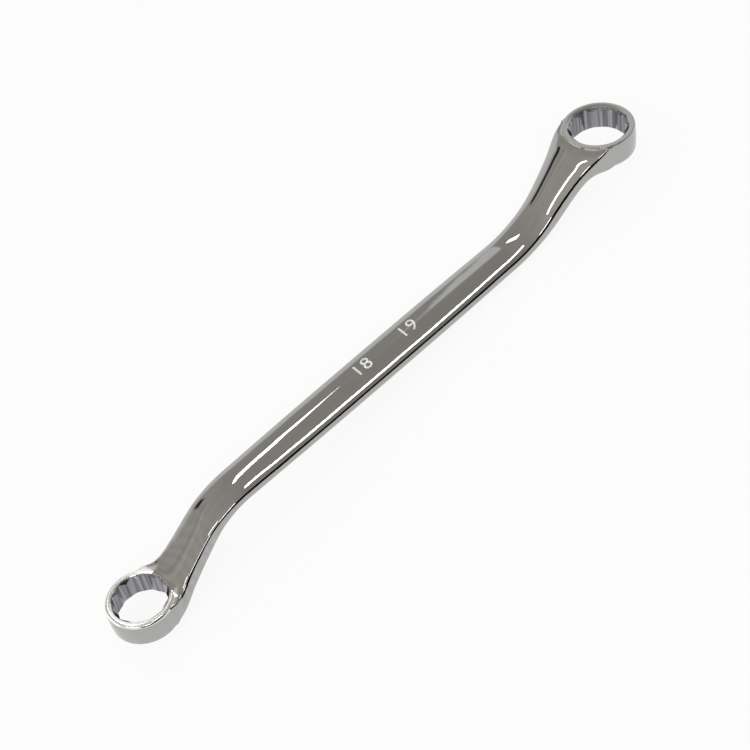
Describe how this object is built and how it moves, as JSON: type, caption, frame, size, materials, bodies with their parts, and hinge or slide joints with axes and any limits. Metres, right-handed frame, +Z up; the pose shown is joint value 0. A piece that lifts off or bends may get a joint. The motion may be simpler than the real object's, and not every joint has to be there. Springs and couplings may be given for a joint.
{
  "type": "ring spanner",
  "caption": "Offset ring spanner: a crowned bar bent into a shallow S with a bi-hexagon ring socket at each end, for turning hexagon nuts and bolts.",
  "frame": {"origin": "on the table the spanner lies on, under the middle of its overall length and width", "axes": "+X along the spanner from the smaller ring to the larger, +Z up off the table with the broad face up, +Y across it"},
  "size_m": [0.2642, 0.0272, 0.0243],
  "materials": {
    "chrome_plate": "polished chrome plating over a polished forging; bores left duller"
  },
  "bodies": {
    "root": {"spanner": "chrome_plate"}
  },
  "joints": []
}
